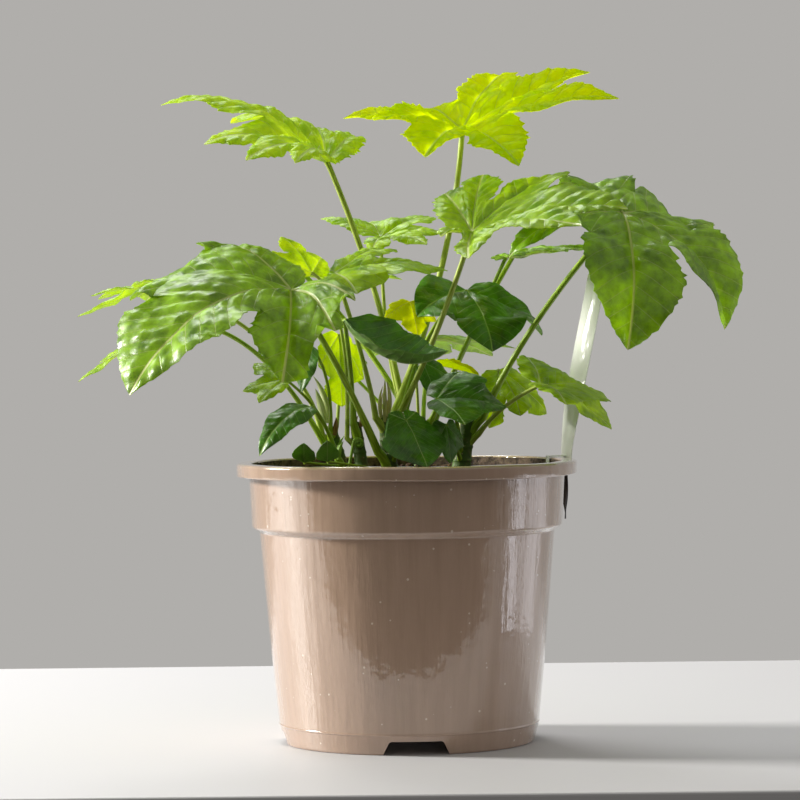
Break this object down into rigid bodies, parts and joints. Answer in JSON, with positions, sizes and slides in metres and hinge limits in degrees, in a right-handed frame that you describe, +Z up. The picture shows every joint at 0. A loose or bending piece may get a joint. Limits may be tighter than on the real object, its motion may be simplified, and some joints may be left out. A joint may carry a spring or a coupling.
{
  "type": "potted fatsia",
  "caption": "Young fatsia with glossy hand-shaped leaves on long stalks, growing from short stems in compost in a round plastic nursery pot with a blank plant label.",
  "frame": {"origin": "on the ground under the middle of the whole plant, on the axis of the pot", "axes": "+Z up, -Y the front that the picture shows, +X to the right of that view"},
  "size_m": [0.3682, 0.2794, 0.3813],
  "materials": {
    "taupe plastic": "gloss",
    "compost": "matte",
    "clear white plastic": "satin",
    "green stem": "satin",
    "sunlit leaf": "satin",
    "shaded leaf": "gloss"
  },
  "bodies": {
    "root": {"pot": "taupe plastic", "compost": "compost", "label": "clear white plastic", "stem_middle": "green stem", "stem_right": "green stem", "stem_left": "green stem", "stem_side": "green stem", "stem_front": "green stem", "stem_back": "green stem", "leaf_upper_left": "sunlit leaf", "leaf_top": "sunlit leaf", "leaf_upper_right": "sunlit leaf", "leaf_right_big": "shaded leaf", "leaf_middle_dark": "shaded leaf", "leaf_left_big": "shaded leaf", "leaf_left_behind": "sunlit leaf", "leaf_centre_light": "sunlit leaf", "leaf_centre_back": "sunlit leaf", "leaf_left_far": "sunlit leaf", "leaf_left_lower": "shaded leaf", "leaf_young_yellow": "sunlit leaf", "leaf_centre_dark": "shaded leaf", "leaf_front_heart": "shaded leaf", "leaf_right_dark": "shaded leaf", "leaf_right_rolled": "sunlit leaf", "leaf_right_pale": "sunlit leaf", "leaf_right_low": "sunlit leaf", "leaf_right_behind": "shaded leaf", "leaf_left_small": "shaded leaf", "leaf_left_hanging": "shaded leaf", "leaf_left_drooping": "shaded leaf", "leaf_left_lit": "sunlit leaf", "leaf_deep_right": "shaded leaf", "leaf_right_shade": "shaded leaf", "leaf_back_left": "shaded leaf", "leaf_back_right": "shaded leaf", "leaf_back_low": "shaded leaf", "leaf_back_small": "shaded leaf", "leaf_rim_round_left": "shaded leaf", "leaf_rim_round_right": "shaded leaf"}
  },
  "joints": []
}
